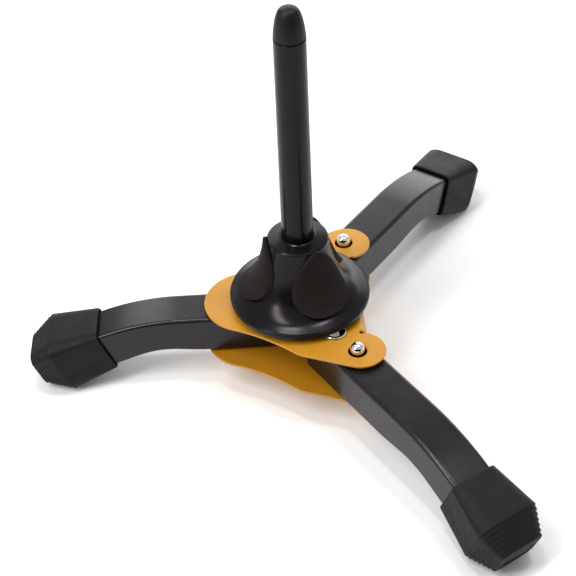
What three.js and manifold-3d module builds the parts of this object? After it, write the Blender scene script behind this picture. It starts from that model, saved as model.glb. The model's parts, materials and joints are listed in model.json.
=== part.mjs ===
// Folding trumpet stand: three square-tube legs in a folded sheet bracket, a flared hub and an upright peg.
// Millimetres, +Z up. The model is built with the hub axis at x = y = 0 and the bracket's top face at z = 0,
// and is shifted at the end so that the middle of its box stands on z = 0.
import * as THREE from 'three';
import Module from 'manifold-3d';
import { mergeVertices } from 'three/addons/utils/BufferGeometryUtils.js';

const wasm = await Module();
wasm.setup();

const GAP = 0.3;                        // clearance between neighbouring solids
const DEG = Math.PI / 180;

// bracket
const SHEET = 1.2;                      // sheet thickness
const DECK_STEP = 24.6;                 // top deck to bottom deck, same face to same face
const WEB_X = 31.3;                     // outer face of the upright web
const WEB_HALF = 27.2;                  // half the web's width
const FOLD_R = 4;                       // outer radius of the two folds
const FOLD_START = 25;                  // where a deck's outline hands over to the folded strip
const LOBE = { x: 27.1, y: 41.2, r: 12.3, from: 68 * DEG, to: 111 * DEG };
const NOSE = { x: -26.4, r: 22.2, to: 112 * DEG };      // round end over the fixed leg
const CORNER = { x: -3.6, y: 41.6 };    // blunt corner between the nose's flank and the lobe
const LOCK_HOLE_R = 4.7;
const NOTCH = { x: 28.7, y: 28.5, r: 1.3 };
const UNDER_DECK = -DECK_STEP - SHEET;
const BRACKET_TURN = 0.9;               // degrees the bracket stands askew of the fixed leg

// legs
const TUBE_WIDTH = 21.4;                // outside sizes of the rectangular tube
const TUBE_HEIGHT = 21;
const TUBE_WALL = 1.5;
const TUBE_EDGE_R = 2;
const TUBE_TOP = -2.5;                  // top face of the legs' straight part
const TUBE_Z = TUBE_TOP - TUBE_HEIGHT / 2;
const PIVOT = { x: 15.74, y: 27.68 };
const BACK_OF_PIVOT = 9.5;              // tube left behind the pivot
const SWING_STRAIGHT = 64.87;           // pivot to the start of the bend
const FIXED_STRAIGHT = 62.1;            // hub axis to the start of the bend
const FIXED_INNER = -10;                // the fixed tube's inner end, past the hub axis
const BEND_R = 102.1;
const BEND = 21.5 * DEG;
const TAIL = 26;                        // tube inside the foot
const FRONT_HEADING = -57.9 * DEG;
const BACK_HEADING = 52.9 * DEG;
const LOCK_AT = 17.2;                   // pivot to lock button, along the leg
const LOCK_SIDE = 1.3;                  // and to the leg's left

// pivots and fasteners
const RIVET_R = 4.3;
const RIVET_BORE_R = 3.7;
const RIVET_HEAD_R = 5.8;
const PIVOT_HOLE_R = 4.6;
const WASHER_R = 9;
const BOLT_R = 3;
const BOLT_FLATS = 10;
const FIXED_RIVET_X = 24;               // hub axis to the rivet in the fixed leg
const SLEEVE_R = 6.2;                   // spacer sleeve round a pivot rivet
const BOLT_WASHER_R = 7;
const BOLT_WASHER = 1.2;
const PEG_NUT = { low: 17.7, high: 22.7 };
const BOLT_TOP = 26;

// lock clips
const DOME_R = 3.65;
const DOME_TOP = 4.95;
const LEAF = 0.8;
const LEAF_WIDTH = 8;
const LEAF_BEND = { at: 54, r: 4 };      // where the strip turns back on itself

// hub and peg
const HUB_SIDES = 48;
const HUB_RIM_R = 35.3;
const HUB_TOP_R = 15.1;
const HUB_TOP = 40;
const SOCKET_R = 8.2;
const SOCKET_FLOOR = 14;
const PEG_FOOT_R = 7.85;
const PEG_HEAD_R = 7.52;
const PEG_BORE_R = 6.2;
const PEG_TOP = 152;
const TIP = 167.5;
const REST_AZIMUTHS = [-58, 62, 182];   // one over each leg
const REST_THICKNESS = 1.8;
const REST_TOP = 41;
const REST_FOOT = 9.2;

// foot sleeves: distance along the leg, half width, height above and below the tube's middle
const FOOT_SECTIONS = [
  { a: 0, w: 12.4, up: 12.5, down: 11.6 },
  { a: 25.8, w: 17, up: 17.3, down: 15.2 },
  { a: 38.9, w: 11.4, up: 11.6, down: 7.4 },
];
const RIBS = 5;
const RIB_DEPTH = 0.7;
const GROUND = -43.2;

function solid(geometry) {
  const g = geometry.clone();
  g.deleteAttribute('normal');
  g.deleteAttribute('uv');
  const merged = mergeVertices(g.index ? g.toNonIndexed() : g, 1e-5);
  const vertProperties = new Float32Array(merged.attributes.position.array);
  const triVerts = new Uint32Array(merged.index.array);
  return new wasm.Manifold(new wasm.Mesh({ numProp: 3, vertProperties, triVerts }));
}

function geometryOf(body) {
  const mesh = body.getMesh();
  const indexed = new THREE.BufferGeometry();
  indexed.setAttribute('position', new THREE.BufferAttribute(mesh.vertProperties, 3));
  indexed.setIndex(new THREE.BufferAttribute(mesh.triVerts, 1));
  const flat = indexed.toNonIndexed();
  flat.computeVertexNormals();
  return flat;
}

function cylinder(r, z0, z1, x = 0, y = 0, sides = 24) {
  const g = new THREE.CylinderGeometry(r, r, z1 - z0, sides);
  g.rotateX(Math.PI / 2);
  g.translate(x, y, (z0 + z1) / 2);
  return solid(g);
}

function block(x0, x1, y0, y1, z0, z1) {
  const g = new THREE.BoxGeometry(x1 - x0, y1 - y0, z1 - z0);
  g.translate((x0 + x1) / 2, (y0 + y1) / 2, (z0 + z1) / 2);
  return solid(g);
}

// a slab of an outline in the XY plane
function slab(shape, z0, z1) {
  const g = new THREE.ExtrudeGeometry(shape, { depth: z1 - z0, bevelEnabled: false });
  g.translate(0, 0, z0);
  return solid(g);
}

// an outline in the XZ plane, given width along Y; edge rounds the two sides' rims
function wall(shape, width, edge = 0, curveSegments = 12) {
  const rounded = {
    bevelEnabled: edge > 0,
    bevelSize: edge,
    bevelThickness: edge,
    bevelOffset: -edge,
    bevelSegments: 3,
  };
  const g = new THREE.ExtrudeGeometry(shape, { depth: width - 2 * edge, curveSegments, ...rounded });
  g.rotateX(Math.PI / 2);
  g.translate(0, width / 2 - edge, 0);
  return solid(g);
}

// a closed outline of (radius, height) points turned about Z
function turned(points, sides = 32) {
  const closed = points.map(([r, z]) => new THREE.Vector2(r, z));
  const onAxis = closed[0].x === 0 && closed[closed.length - 1].x === 0;
  if (!onAxis) {
    closed.push(closed[0].clone());
  }
  const g = new THREE.LatheGeometry(closed, sides);
  g.rotateX(Math.PI / 2);
  const body = solid(g);
  return body.volume() < 0 ? solid(flipped(g)) : body;
}

function flipped(geometry) {
  const g = geometry.index ? geometry.toNonIndexed() : geometry.clone();
  const p = g.attributes.position.array;
  for (let i = 0; i < p.length; i += 9) {
    for (let k = 0; k < 3; k += 1) {
      const kept = p[i + 3 + k];
      p[i + 3 + k] = p[i + 6 + k];
      p[i + 6 + k] = kept;
    }
  }
  return g;
}

function ring(inner, outer, z0, z1) {
  return cylinder(outer, z0, z1).subtract(cylinder(inner, z0 - 1, z1 + 1));
}

// ---- bracket ----

// half of a deck's edge from the fold to the nose: a lobe, a straight run, a blunt corner, a hollow flank
function deckEdge() {
  const half = new THREE.Path();
  const leave = new THREE.Vector2(NOSE.x + NOSE.r * Math.cos(NOSE.to), NOSE.r * Math.sin(NOSE.to));
  half.moveTo(FOLD_START, WEB_HALF);
  half.lineTo(NOTCH.x, NOTCH.y);
  half.absarc(LOBE.x, LOBE.y, LOBE.r, -LOBE.from, LOBE.to, false);
  half.lineTo(CORNER.x + 1.4, CORNER.y + 0.7);
  half.quadraticCurveTo(CORNER.x, CORNER.y, CORNER.x - 1.1, CORNER.y - 1);
  half.bezierCurveTo(-12, 33.4, leave.x + 11.1, leave.y + 4.5, leave.x, leave.y);
  half.absarc(NOSE.x, 0, NOSE.r, NOSE.to, Math.PI, false);
  return half.getPoints(9);
}

function deckOutline() {
  const edge = deckEdge();
  const mirrored = edge.slice(0, -1).reverse().map((p) => new THREE.Vector2(p.x, -p.y));
  return new THREE.Shape([...edge, ...mirrored]);
}

// the folded strip between the decks, as a C in the XZ plane
function foldOutline() {
  const s = new THREE.Shape();
  const low = -DECK_STEP - SHEET;
  const inner = FOLD_R - SHEET;
  const cx = WEB_X - FOLD_R;
  s.moveTo(20, 0);
  s.lineTo(20, -SHEET);
  s.absarc(cx, -FOLD_R, inner, Math.PI / 2, 0, true);
  s.absarc(cx, low + FOLD_R, inner, 0, -Math.PI / 2, true);
  s.lineTo(20, low + SHEET);
  s.lineTo(20, low);
  s.absarc(cx, low + FOLD_R, FOLD_R, -Math.PI / 2, 0, false);
  s.absarc(cx, -FOLD_R, FOLD_R, 0, Math.PI / 2, false);
  s.closePath();
  return s;
}

// a lock button's place on the top deck
function lockPlace(side, heading) {
  const button = new THREE.Vector2(LOCK_AT, LOCK_SIDE).rotateAround(new THREE.Vector2(), heading);
  return [PIVOT.x + button.x, side * PIVOT.y + button.y];
}

function bracketSheet() {
  const outline = deckOutline();
  const low = -DECK_STEP;
  let body = wall(foldOutline(), 2 * WEB_HALF, 0, 6);
  body = body.add(slab(outline, -SHEET, 0));
  body = body.add(slab(outline, low - SHEET, low));
  for (const side of [-1, 1]) {
    body = body.subtract(cylinder(NOTCH.r, -30, 5, NOTCH.x, side * NOTCH.y, 16));
  }
  return body.rotate([0, 0, BRACKET_TURN]);
}

function bracket() {
  let body = bracketSheet();
  for (const [side, heading] of [[-1, FRONT_HEADING], [1, BACK_HEADING]]) {
    body = body.subtract(cylinder(PIVOT_HOLE_R, -30, 5, PIVOT.x, side * PIVOT.y));
    body = body.subtract(cylinder(LOCK_HOLE_R, -5, 5, ...lockPlace(side, heading)));
  }
  body = body.subtract(cylinder(BOLT_R + GAP, -30, 5));
  return body.subtract(cylinder(BOLT_R + GAP, -30, 5, -FIXED_RIVET_X, 0));
}

// ---- legs ----

// side view of a bent bar of half height half, from start to the end of the tail
function barOutline(start, straight, half, tail) {
  const s = new THREE.Shape();
  const cz = TUBE_Z - BEND_R;
  const out = Math.PI / 2 - BEND;
  const tailX = tail * Math.cos(BEND);
  const tailZ = -tail * Math.sin(BEND);
  const tip = (r) => [straight + r * Math.cos(out) + tailX, cz + r * Math.sin(out) + tailZ];
  s.moveTo(start, TUBE_Z + half);
  s.lineTo(straight, TUBE_Z + half);
  s.absarc(straight, cz, BEND_R + half, Math.PI / 2, out, true);
  s.lineTo(...tip(BEND_R + half));
  s.lineTo(...tip(BEND_R - half));
  s.absarc(straight, cz, BEND_R - half, out, Math.PI / 2, false);
  s.lineTo(start, TUBE_Z - half);
  s.closePath();
  return s;
}

function legTube(start, straight) {
  const half = TUBE_HEIGHT / 2;
  const outer = wall(barOutline(start, straight, half, TAIL), TUBE_WIDTH, TUBE_EDGE_R, 8);
  const bore = barOutline(start - 9, straight, half - TUBE_WALL, TAIL + 9);
  return outer.subtract(wall(bore, TUBE_WIDTH - 2 * TUBE_WALL, 0, 8));
}

function swingTube() {
  const buttonHole = cylinder(DOME_R + 0.5, TUBE_TOP - 5, 5, LOCK_AT, LOCK_SIDE);
  const holes = cylinder(PIVOT_HOLE_R, -30, 5).add(buttonHole);
  return legTube(-BACK_OF_PIVOT, SWING_STRAIGHT).subtract(holes);
}

function fixedTube() {
  const holes = cylinder(BOLT_R + GAP, -30, 5).add(cylinder(BOLT_R + GAP, -30, 5, FIXED_RIVET_X, 0));
  return legTube(FIXED_INNER, FIXED_STRAIGHT).subtract(holes);
}

// stepped edge from one section to the next, for any of the section's sizes
function footEdge(key, sign) {
  const [mouth, widest, end] = FOOT_SECTIONS;
  const edge = [[mouth.a, sign * mouth[key]], [widest.a, sign * widest[key]]];
  for (let k = 1; k <= RIBS; k += 1) {
    const t = k / (RIBS + 1);
    const a = widest.a + (end.a - widest.a) * t;
    const h = widest[key] + (end[key] - widest[key]) * t;
    edge.push([a, sign * (h + RIB_DEPTH / 2)]);
    edge.push([a + RIB_DEPTH, sign * (h - RIB_DEPTH / 2)]);
  }
  edge.push([end.a, sign * end[key]]);
  return edge;
}

function footOutline(keyUp, keyDown) {
  const points = [...footEdge(keyUp, 1), ...footEdge(keyDown, -1).reverse()];
  return new THREE.Shape(points.map(([a, h]) => new THREE.Vector2(a, h)));
}

// the sleeve along +X with the tube's middle on the X axis, before it is tilted onto the leg
function footSleeve() {
  const [mouth, , end] = FOOT_SECTIONS;
  const side = wall(footOutline('up', 'down'), 40);
  const plan = slab(footOutline('w', 'w'), -30, 30);
  const wide = TUBE_WIDTH / 2 + GAP * 0.7;
  const tall = TUBE_HEIGHT / 2 + GAP * 0.7;
  const socket = block(mouth.a - 1, TAIL + GAP, -wide, wide, -tall, tall);
  const groove = block(end.a - 0.8, end.a + 1, -6.5, 6.5, 0.4, 1.6);
  return side.intersect(plan).subtract(socket).subtract(groove);
}

function foot(straight) {
  const x = straight + BEND_R * Math.sin(BEND);
  const z = TUBE_Z - BEND_R * (1 - Math.cos(BEND));
  const placed = footSleeve().rotate([0, BEND / DEG, 0]).translate([x, 0, z]);
  return placed.subtract(block(0, 250, -40, 40, GROUND - 20, GROUND));
}

// ---- lock clips: a sprung strip folded on itself, with the dome on its free end ----

function lockClip() {
  const top = TUBE_TOP - TUBE_WALL - GAP;
  const floor = TUBE_TOP - TUBE_HEIGHT + TUBE_WALL + GAP;
  const { at: bend, r } = LEAF_BEND;
  const mid = (top + floor) / 2 - 1.5;
  const s = new THREE.Shape();
  s.moveTo(LOCK_AT - 5.5, top);
  s.lineTo(LOCK_AT + 6, top);
  s.lineTo(bend, mid + r);
  s.absarc(bend, mid, r, Math.PI / 2, -Math.PI / 2, true);
  s.lineTo(LOCK_AT + 8, floor);
  s.lineTo(LOCK_AT + 2, floor);
  s.lineTo(LOCK_AT + 2, floor + LEAF);
  s.lineTo(LOCK_AT + 8, floor + LEAF);
  s.lineTo(bend, mid - r + LEAF);
  s.absarc(bend, mid, r - LEAF, -Math.PI / 2, Math.PI / 2, false);
  s.lineTo(LOCK_AT + 6, top - LEAF);
  s.lineTo(LOCK_AT - 5.5, top - LEAF);
  s.closePath();
  return wall(s, LEAF_WIDTH, 0, 8).add(dome().translate([LOCK_AT, 0, 0])).translate([0, LOCK_SIDE, 0]);
}

function dome() {
  const shoulder = DOME_TOP - DOME_R;
  const low = TUBE_TOP - TUBE_WALL - GAP - LEAF / 2;
  const points = [[0, low], [DOME_R, low], [DOME_R, shoulder]];
  for (let k = 1; k < 6; k += 1) {
    const a = k * 15 * DEG;
    points.push([DOME_R * Math.cos(a), shoulder + DOME_R * Math.sin(a)]);
  }
  points.push([0, DOME_TOP]);
  return turned(points, 24);
}

// ---- pivots and fasteners ----

// tubular rivet with a rolled head at each end
function pivotRivet() {
  const top = GAP;
  const low = UNDER_DECK - GAP;
  const head = 0.9;
  const half = [
    [RIVET_BORE_R, 0],
    [RIVET_BORE_R, top + head - 0.4],
    [RIVET_BORE_R + 0.35, top + head],
    [RIVET_HEAD_R - 0.4, top + head],
    [RIVET_HEAD_R, top + head / 2],
    [RIVET_HEAD_R - 0.2, top],
    [RIVET_R, top],
  ];
  const lower = half.slice(1).map(([r, z]) => [r, low - (z - top)]).reverse();
  return turned([...half, ...lower], 28);
}

function solidRivet() {
  const top = GAP;
  const low = UNDER_DECK - GAP;
  const points = [[0, low - 1.2], [4, low - 1.2], [5, low], [BOLT_R, low]];
  points.push([BOLT_R, top], [5, top], [4, top + 1.2], [0, top + 1.2]);
  return turned(points, 24).translate([FIXED_RIVET_X, 0, 0]);
}

function hexPrism(flats, z0, z1) {
  return cylinder(flats / Math.sqrt(3), z0, z1, 0, 0, 6);
}

function centreBolt() {
  const under = UNDER_DECK - 2 * GAP - BOLT_WASHER;
  return hexPrism(BOLT_FLATS, under - 4, under).add(cylinder(BOLT_R, under - 1, BOLT_TOP, 0, 0, 24));
}

// ---- hub, its three leaf-shaped rests, and the peg ----

function hubFlank(inset = 0) {
  const path = new THREE.Path();
  path.moveTo(33.8 - inset, 6.6 - inset / 2);
  path.quadraticCurveTo(18.6 - inset, 12.8, HUB_TOP_R - inset, 38.8 - inset);
  return path.getPoints(7).map((p) => [p.x, p.y]);
}

function hubSolid() {
  const rim = [
    [33.2, 2.4],
    [34.4, 2.4],
    [HUB_RIM_R, 3.4],
    [HUB_RIM_R, 5.2],
    [34.5, 6.1],
    [34.1, 5.9],
  ];
  const top = [
    [HUB_TOP_R - 0.5, HUB_TOP - 0.2],
    [HUB_TOP_R - 1.2, HUB_TOP],
    [10.2, HUB_TOP],
    [9.4, HUB_TOP - 0.5],
    [9.2, HUB_TOP - 2],
    [SOCKET_R, HUB_TOP - 3],
    [SOCKET_R, SOCKET_FLOOR],
    [BOLT_R + GAP, SOCKET_FLOOR],
    [BOLT_R + GAP, GAP],
    [10.4, GAP],
    [10.6, 33],
  ];
  const inner = hubFlank(2.6).reverse().filter(([r, z]) => z < 31 && z > 5);
  return turned([...rim, ...hubFlank(), ...top, ...inner, [31.6, 2.4]], HUB_SIDES);
}

// a shell that lies along the hub's flank, from which the rests are cut
function flankShell() {
  const inner = hubFlank(-GAP);
  const outer = hubFlank(-GAP - REST_THICKNESS).reverse();
  const top = [[HUB_TOP_R + GAP, REST_TOP], [HUB_TOP_R + GAP + REST_THICKNESS, REST_TOP]];
  return turned([...inner, ...top, ...outer], HUB_SIDES);
}

// leaf outline seen along the hub's radius, pointed at the top: x across, y up
function restOutline() {
  const s = new THREE.Shape();
  s.moveTo(0.8, REST_TOP);
  s.bezierCurveTo(5.6, 39.4, 12.4, 29.5, 14.8, 16.5);
  s.bezierCurveTo(15.6, 11.6, 11, REST_FOOT, 0, REST_FOOT);
  s.bezierCurveTo(-11, REST_FOOT, -15.6, 11.6, -14.8, 16.5);
  s.bezierCurveTo(-12.4, 29.5, -5.6, 39.4, -0.8, REST_TOP);
  s.closePath();
  return s;
}

function bellRest() {
  const g = new THREE.ExtrudeGeometry(restOutline(), { depth: 45, bevelEnabled: false, curveSegments: 7 });
  g.rotateX(Math.PI / 2);
  g.rotateZ(Math.PI / 2);
  return solid(g).intersect(flankShell());
}

function pegTube() {
  const low = SOCKET_FLOOR + GAP;
  return turned([
    [BOLT_R + GAP, low],
    [PEG_FOOT_R, low],
    [PEG_FOOT_R, HUB_TOP],
    [PEG_HEAD_R, PEG_TOP],
    [PEG_BORE_R - 0.6, PEG_TOP],
    [PEG_BORE_R, low + 3],
    [BOLT_R + GAP, low + 3],
  ]);
}

function pegTip() {
  const plug = PEG_BORE_R - 0.9;
  const base = PEG_TOP + GAP;
  return turned([
    [0, PEG_TOP - 12],
    [plug - 0.5, PEG_TOP - 12],
    [plug, PEG_TOP - 11],
    [plug, base],
    [PEG_HEAD_R, base],
    [7.1, base + 5],
    [6.5, base + 9],
    [5.6, base + 12],
    [4.1, base + 14],
    [2.2, base + 14.95],
    [0, TIP],
  ]);
}

// ---- assembly ----

const GOLD = 0xd9a441;
const COAT = 0x1c1c1e;
const PLASTIC = 0x161617;
const REST_RUBBER = 0x201c1a;
const RUBBER = 0x19191a;
const STEEL = 0xb9bcc0;
const NYLON = 0xd8d6cc;

const SPACER_ROWS = [
  ['upper', TUBE_TOP + GAP, -SHEET - GAP],
  ['lower', GAP - DECK_STEP, TUBE_TOP - TUBE_HEIGHT - GAP],
];

function piece(name, body, color, metalness, roughness) {
  const material = new THREE.MeshStandardMaterial({ color, metalness, roughness });
  material.name = name;
  const mesh = new THREE.Mesh(geometryOf(body), material);
  mesh.name = name;
  return mesh;
}

function bellRests() {
  return REST_AZIMUTHS.map((azimuth, i) => {
    const mesh = piece(`bell_rest_${i + 1}`, bellRest(), REST_RUBBER, 0, 0.9);
    mesh.rotation.z = azimuth * DEG;
    return mesh;
  });
}

function centreStack() {
  const washer = ring(BOLT_R + GAP, BOLT_WASHER_R, UNDER_DECK - GAP - BOLT_WASHER, UNDER_DECK - GAP);
  const nut = hexPrism(BOLT_FLATS, PEG_NUT.low, PEG_NUT.high).subtract(cylinder(BOLT_R + 0.1, 10, 30));
  const spacers = SPACER_ROWS.map(([row, low, high]) => {
    return piece(`centre_${row}_spacer`, ring(BOLT_R + GAP, WASHER_R, low, high), NYLON, 0, 0.6);
  });
  return [
    piece('centre_bolt', centreBolt(), STEEL, 0.9, 0.3),
    piece('centre_washer', washer, STEEL, 0.9, 0.35),
    piece('peg_nut', nut, STEEL, 0.9, 0.3),
    ...spacers,
  ];
}

function fixedLeg() {
  const leg = new THREE.Group();
  leg.rotation.z = Math.PI;
  leg.add(piece('fixed_leg_tube', fixedTube(), COAT, 0.1, 0.4));
  leg.add(piece('fixed_leg_foot', foot(FIXED_STRAIGHT), RUBBER, 0, 0.8));
  leg.add(piece('fixed_leg_rivet', solidRivet(), STEEL, 0.9, 0.35));
  return leg;
}

function swingLeg(name, side, heading) {
  const leg = new THREE.Group();
  leg.position.set(PIVOT.x, side * PIVOT.y, 0);
  leg.rotation.z = heading;
  const inside = TUBE_TOP - TUBE_WALL - GAP;
  const sleeve = ring(RIVET_R + GAP, SLEEVE_R, TUBE_TOP - TUBE_HEIGHT + TUBE_WALL + GAP, inside);
  leg.add(piece(`${name}_leg_tube`, swingTube(), COAT, 0.1, 0.4));
  leg.add(piece(`${name}_leg_foot`, foot(SWING_STRAIGHT), RUBBER, 0, 0.8));
  leg.add(piece(`${name}_lock_clip`, lockClip(), STEEL, 1, 0.12));
  leg.add(piece(`${name}_pivot_sleeve`, sleeve, STEEL, 0.8, 0.4));
  leg.add(piece(`${name}_pivot_rivet`, pivotRivet(), STEEL, 0.9, 0.25));
  for (const [row, low, high] of SPACER_ROWS) {
    leg.add(piece(`${name}_${row}_washer`, ring(RIVET_R + GAP, WASHER_R, low, high), NYLON, 0, 0.6));
  }
  return leg;
}

const stand = new THREE.Group();
stand.name = 'trumpet_stand';
stand.add(piece('bracket', bracket(), GOLD, 0.35, 0.45));
stand.add(piece('hub', hubSolid(), PLASTIC, 0, 0.45));
stand.add(...bellRests());
stand.add(piece('peg_tube', pegTube(), PLASTIC, 0, 0.5));
stand.add(piece('peg_tip', pegTip(), RUBBER, 0, 0.6));
stand.add(...centreStack());
stand.add(fixedLeg());
stand.add(swingLeg('front', -1, FRONT_HEADING));
stand.add(swingLeg('back', 1, BACK_HEADING));

// the middle of the whole box comes to stand on the origin
const box = new THREE.Box3().setFromObject(stand, true);
const middle = box.getCenter(new THREE.Vector3());
stand.position.set(-middle.x, -middle.y, -box.min.z);
stand.updateMatrixWorld(true);

export default stand;
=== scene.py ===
"""Looks of the folding trumpet stand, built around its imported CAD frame.

Lengths are millimetres and angles are degrees. Points are measured from where the hub's axis meets the
bracket's top face, and to_row() turns them into the row frame, in metres. The studio is in metres.
"""

import json
from math import asin, cos, hypot, pi, radians, sin, tan

import bmesh
import bpy
from mathutils import Matrix, Vector


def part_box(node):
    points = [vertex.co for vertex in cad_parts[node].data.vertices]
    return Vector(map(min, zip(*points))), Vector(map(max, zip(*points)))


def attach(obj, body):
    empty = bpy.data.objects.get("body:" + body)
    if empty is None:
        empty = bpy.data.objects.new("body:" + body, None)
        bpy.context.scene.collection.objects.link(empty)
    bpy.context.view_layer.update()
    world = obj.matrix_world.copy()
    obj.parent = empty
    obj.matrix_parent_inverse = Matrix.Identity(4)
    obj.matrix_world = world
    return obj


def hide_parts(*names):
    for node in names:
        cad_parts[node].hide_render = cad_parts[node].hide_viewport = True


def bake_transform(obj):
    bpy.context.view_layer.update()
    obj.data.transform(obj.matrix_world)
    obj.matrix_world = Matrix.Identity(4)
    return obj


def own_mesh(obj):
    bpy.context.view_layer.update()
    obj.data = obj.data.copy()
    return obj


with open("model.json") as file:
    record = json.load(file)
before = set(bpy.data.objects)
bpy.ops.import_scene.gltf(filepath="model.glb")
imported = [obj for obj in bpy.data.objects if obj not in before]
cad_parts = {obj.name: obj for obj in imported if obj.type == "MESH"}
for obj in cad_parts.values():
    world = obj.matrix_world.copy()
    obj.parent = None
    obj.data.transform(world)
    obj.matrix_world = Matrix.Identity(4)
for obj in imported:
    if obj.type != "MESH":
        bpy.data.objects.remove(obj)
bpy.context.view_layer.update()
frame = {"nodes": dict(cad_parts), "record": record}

MM = 0.001
HUB_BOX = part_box("hub")
ORIGIN = Vector(((HUB_BOX[0].x + HUB_BOX[1].x) / 2, (HUB_BOX[0].y + HUB_BOX[1].y) / 2,
                 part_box("bracket")[1].z))
GROUND = -ORIGIN.z / MM

# bracket
SHEET = 1.2                         # thickness
DECK_STEP = 24.6                    # from the top deck's upper face to the bottom deck's upper face
WEB_X = 31.3                        # outer face of the upright web
WEB_HALF = 27.2                     # half its width
FOLD_R = 4.0
SHEET_EDGE = 0.3                    # rounding of the rims
LOBE = {"x": 27.1, "y": 41.2, "r": 12.3, "from": -68, "to": 111}       # round end over each swinging leg
NOSE = {"x": -26.4, "r": 22.2, "to": 112}                               # round end over the fixed leg
CORNER = (-3.6, 41.6)               # blunt corner between a lobe and the nose
HOLLOW = (-12, 33.4)                # pulls the edge inwards between that corner and the nose
NOTCH = {"x": 28.7, "y": 28.5, "r": 1.3}                                # relief at each end of the fold
BRACKET_TURN = 0.9                  # against the fixed leg
LOCK_HOLE_R = 4.7
PIVOT_HOLE_R = 4.6
BOLT_HOLE_R = 3.3
HOLE_SIDES = 48

# legs
TUBE_WIDTH = 21.4
TUBE_HEIGHT = 21.0
TUBE_WALL = 1.5
TUBE_R = 2.0                        # corners of the tube
TUBE_TOP = -2.5
TUBE_Z = TUBE_TOP - TUBE_HEIGHT / 2
PIVOT = (15.74, 27.68)              # of the back leg; the front one mirrors it
BACK_OF_PIVOT = 9.5                 # how far a swinging tube runs behind its pivot
SWING_STRAIGHT = 64.87              # straight length before the bend, from the pivot
FIXED_STRAIGHT = 62.1               # and from the hub's axis
FIXED_INNER = -10.0                 # inner end of the fixed tube
FIXED_RIVET = 24.0
BEND_R = 102.1                      # radius of the bend's middle line
BEND = 21.5
BEND_LENGTH = BEND_R * radians(BEND)
TAIL = 26.0                         # straight end past the bend
LOCK_AT = 17.2                      # button from its pivot, along the leg
LOCK_SIDE = 1.3                     # and off the leg's middle line
PINCH = 1.8                         # how far the underside rises early in the bend
PINCH_START = 16                    # before the bend
PINCH_PEAK = 11                     # past the bend's start
LEGS = {
    "fixed": {"body": "stand", "at": (0, 0), "heading": 180.0, "straight": FIXED_STRAIGHT},
    "front": {"body": "front_leg", "at": (PIVOT[0], -PIVOT[1]), "heading": -57.9, "straight": SWING_STRAIGHT},
    "back": {"body": "back_leg", "at": PIVOT, "heading": 52.9, "straight": SWING_STRAIGHT},
}

# hub and peg
HUB_RIM_R = 35.3
HUB_TOP_R = 15.1
HUB_TOP = 40.0
FLANK = ((31.1, 6.98), (18.4, 12.4), (HUB_TOP_R, 38.6))     # curve of (radius, height)
SOCKET_R = 7.98
PEG_FOOT_R = 7.85
PEG_HEAD_R = 7.52
PEG_TOP = 152.0
TIP = 167.5
REST_AZIMUTHS = (-58, 62, 182)      # one over each leg
REST_GAP = 0.3
REST_THICKNESS = 1.75
REST_TOP = 40.2
REST_FOOT = 9.7

# pivots and locks
GAP = 0.3                           # between parts that touch
RIVET_R = 4.3
RIVET_BORE_R = 3.9
RIVET_HEAD_R = 5.8
RIVET_PLAIN = -3.0                  # height under which a pivot rivet is a plain tube
WASHER = 1.2
BOLT_R = 3.0
DOME_R = 3.65
DOME_TOP = 4.9
DOME_TAIL = 1.5                     # length of the tail that holds the dome on its spring
LEAF = 0.8                          # thickness of the spring
SPRING_WIDTH = 8
SPRING_BEND = 54.0                  # where the spring turns back, from the pivot
SPRING_BEND_R = 4.0
SPRING_TOP = TUBE_TOP - TUBE_WALL - GAP
SPRING_FLOOR = TUBE_TOP - TUBE_HEIGHT + TUBE_WALL + GAP


# ---- points and outlines ----

def to_row(p):
    """A point in millimetres as a point of the row frame, in metres."""
    return ORIGIN + Vector(p) * MM


def arc(x, y, r, start, end, steps):
    """Points along an arc, both ends included."""
    angles = [radians(start + (end - start) * k / steps) for k in range(steps + 1)]
    return [(x + r * cos(a), y + r * sin(a)) for a in angles]


def circle(x, y, r):
    """The outline of a round hole in the sheet."""
    return arc(x, y, r, 0, 360 - 360 / HOLE_SIDES, HOLE_SIDES - 1)


def bezier(points, steps):
    """Points along a quadratic or cubic curve."""
    out = []
    for k in range(steps + 1):
        t = k / steps
        level = [Vector(p) for p in points]
        while len(level) > 1:
            level = [a.lerp(b, t) for a, b in zip(level, level[1:])]
        out.append(tuple(level[0]))
    return out


def filleted(corners, steps=4, closed=True):
    """An outline whose corners (x, y, radius) are rounded."""
    out = []
    count = len(corners)
    for i, (x, y, r) in enumerate(corners):
        inner = closed or 0 < i < count - 1
        if r <= 0 or not inner:
            out.append((x, y))
            continue
        here = Vector((x, y))
        back = Vector(corners[i - 1][:2]) - here
        ahead = Vector(corners[(i + 1) % count][:2]) - here
        reach = min(r / max(tan(back.angle(ahead) / 2), 1e-6), back.length * 0.49, ahead.length * 0.49)
        ends = here + back.normalized() * reach, here + ahead.normalized() * reach
        out += bezier((ends[0], here, ends[1]), steps)
    return out


def rounded_box(left, right, low, high, r, steps=6, low_r=None, squash=1.0):
    """A rectangle's outline with round corners, counter-clockwise from its right side.

    The lower corners may have their own radius, and the upper ones are flatter when squash is under 1.
    """
    b = r if low_r is None else low_r
    corners = ((right - r, high - r * squash, r, 0), (left + r, high - r * squash, r, 90),
               (left + b, low + b, b, 180), (right - b, low + b, b, 270))
    out = []
    for x, y, radius, start in corners:
        flat = squash if start < 180 else 1.0
        out += [(x + px, y + py * flat) for px, py in arc(0, 0, radius, start, start + 90, steps)]
    return out


# ---- meshes ----

def as_object(name, mesh):
    """An object of the scene that shows a mesh or curve."""
    obj = bpy.data.objects.new(name, mesh)
    bpy.context.scene.collection.objects.link(obj)
    return obj


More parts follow.
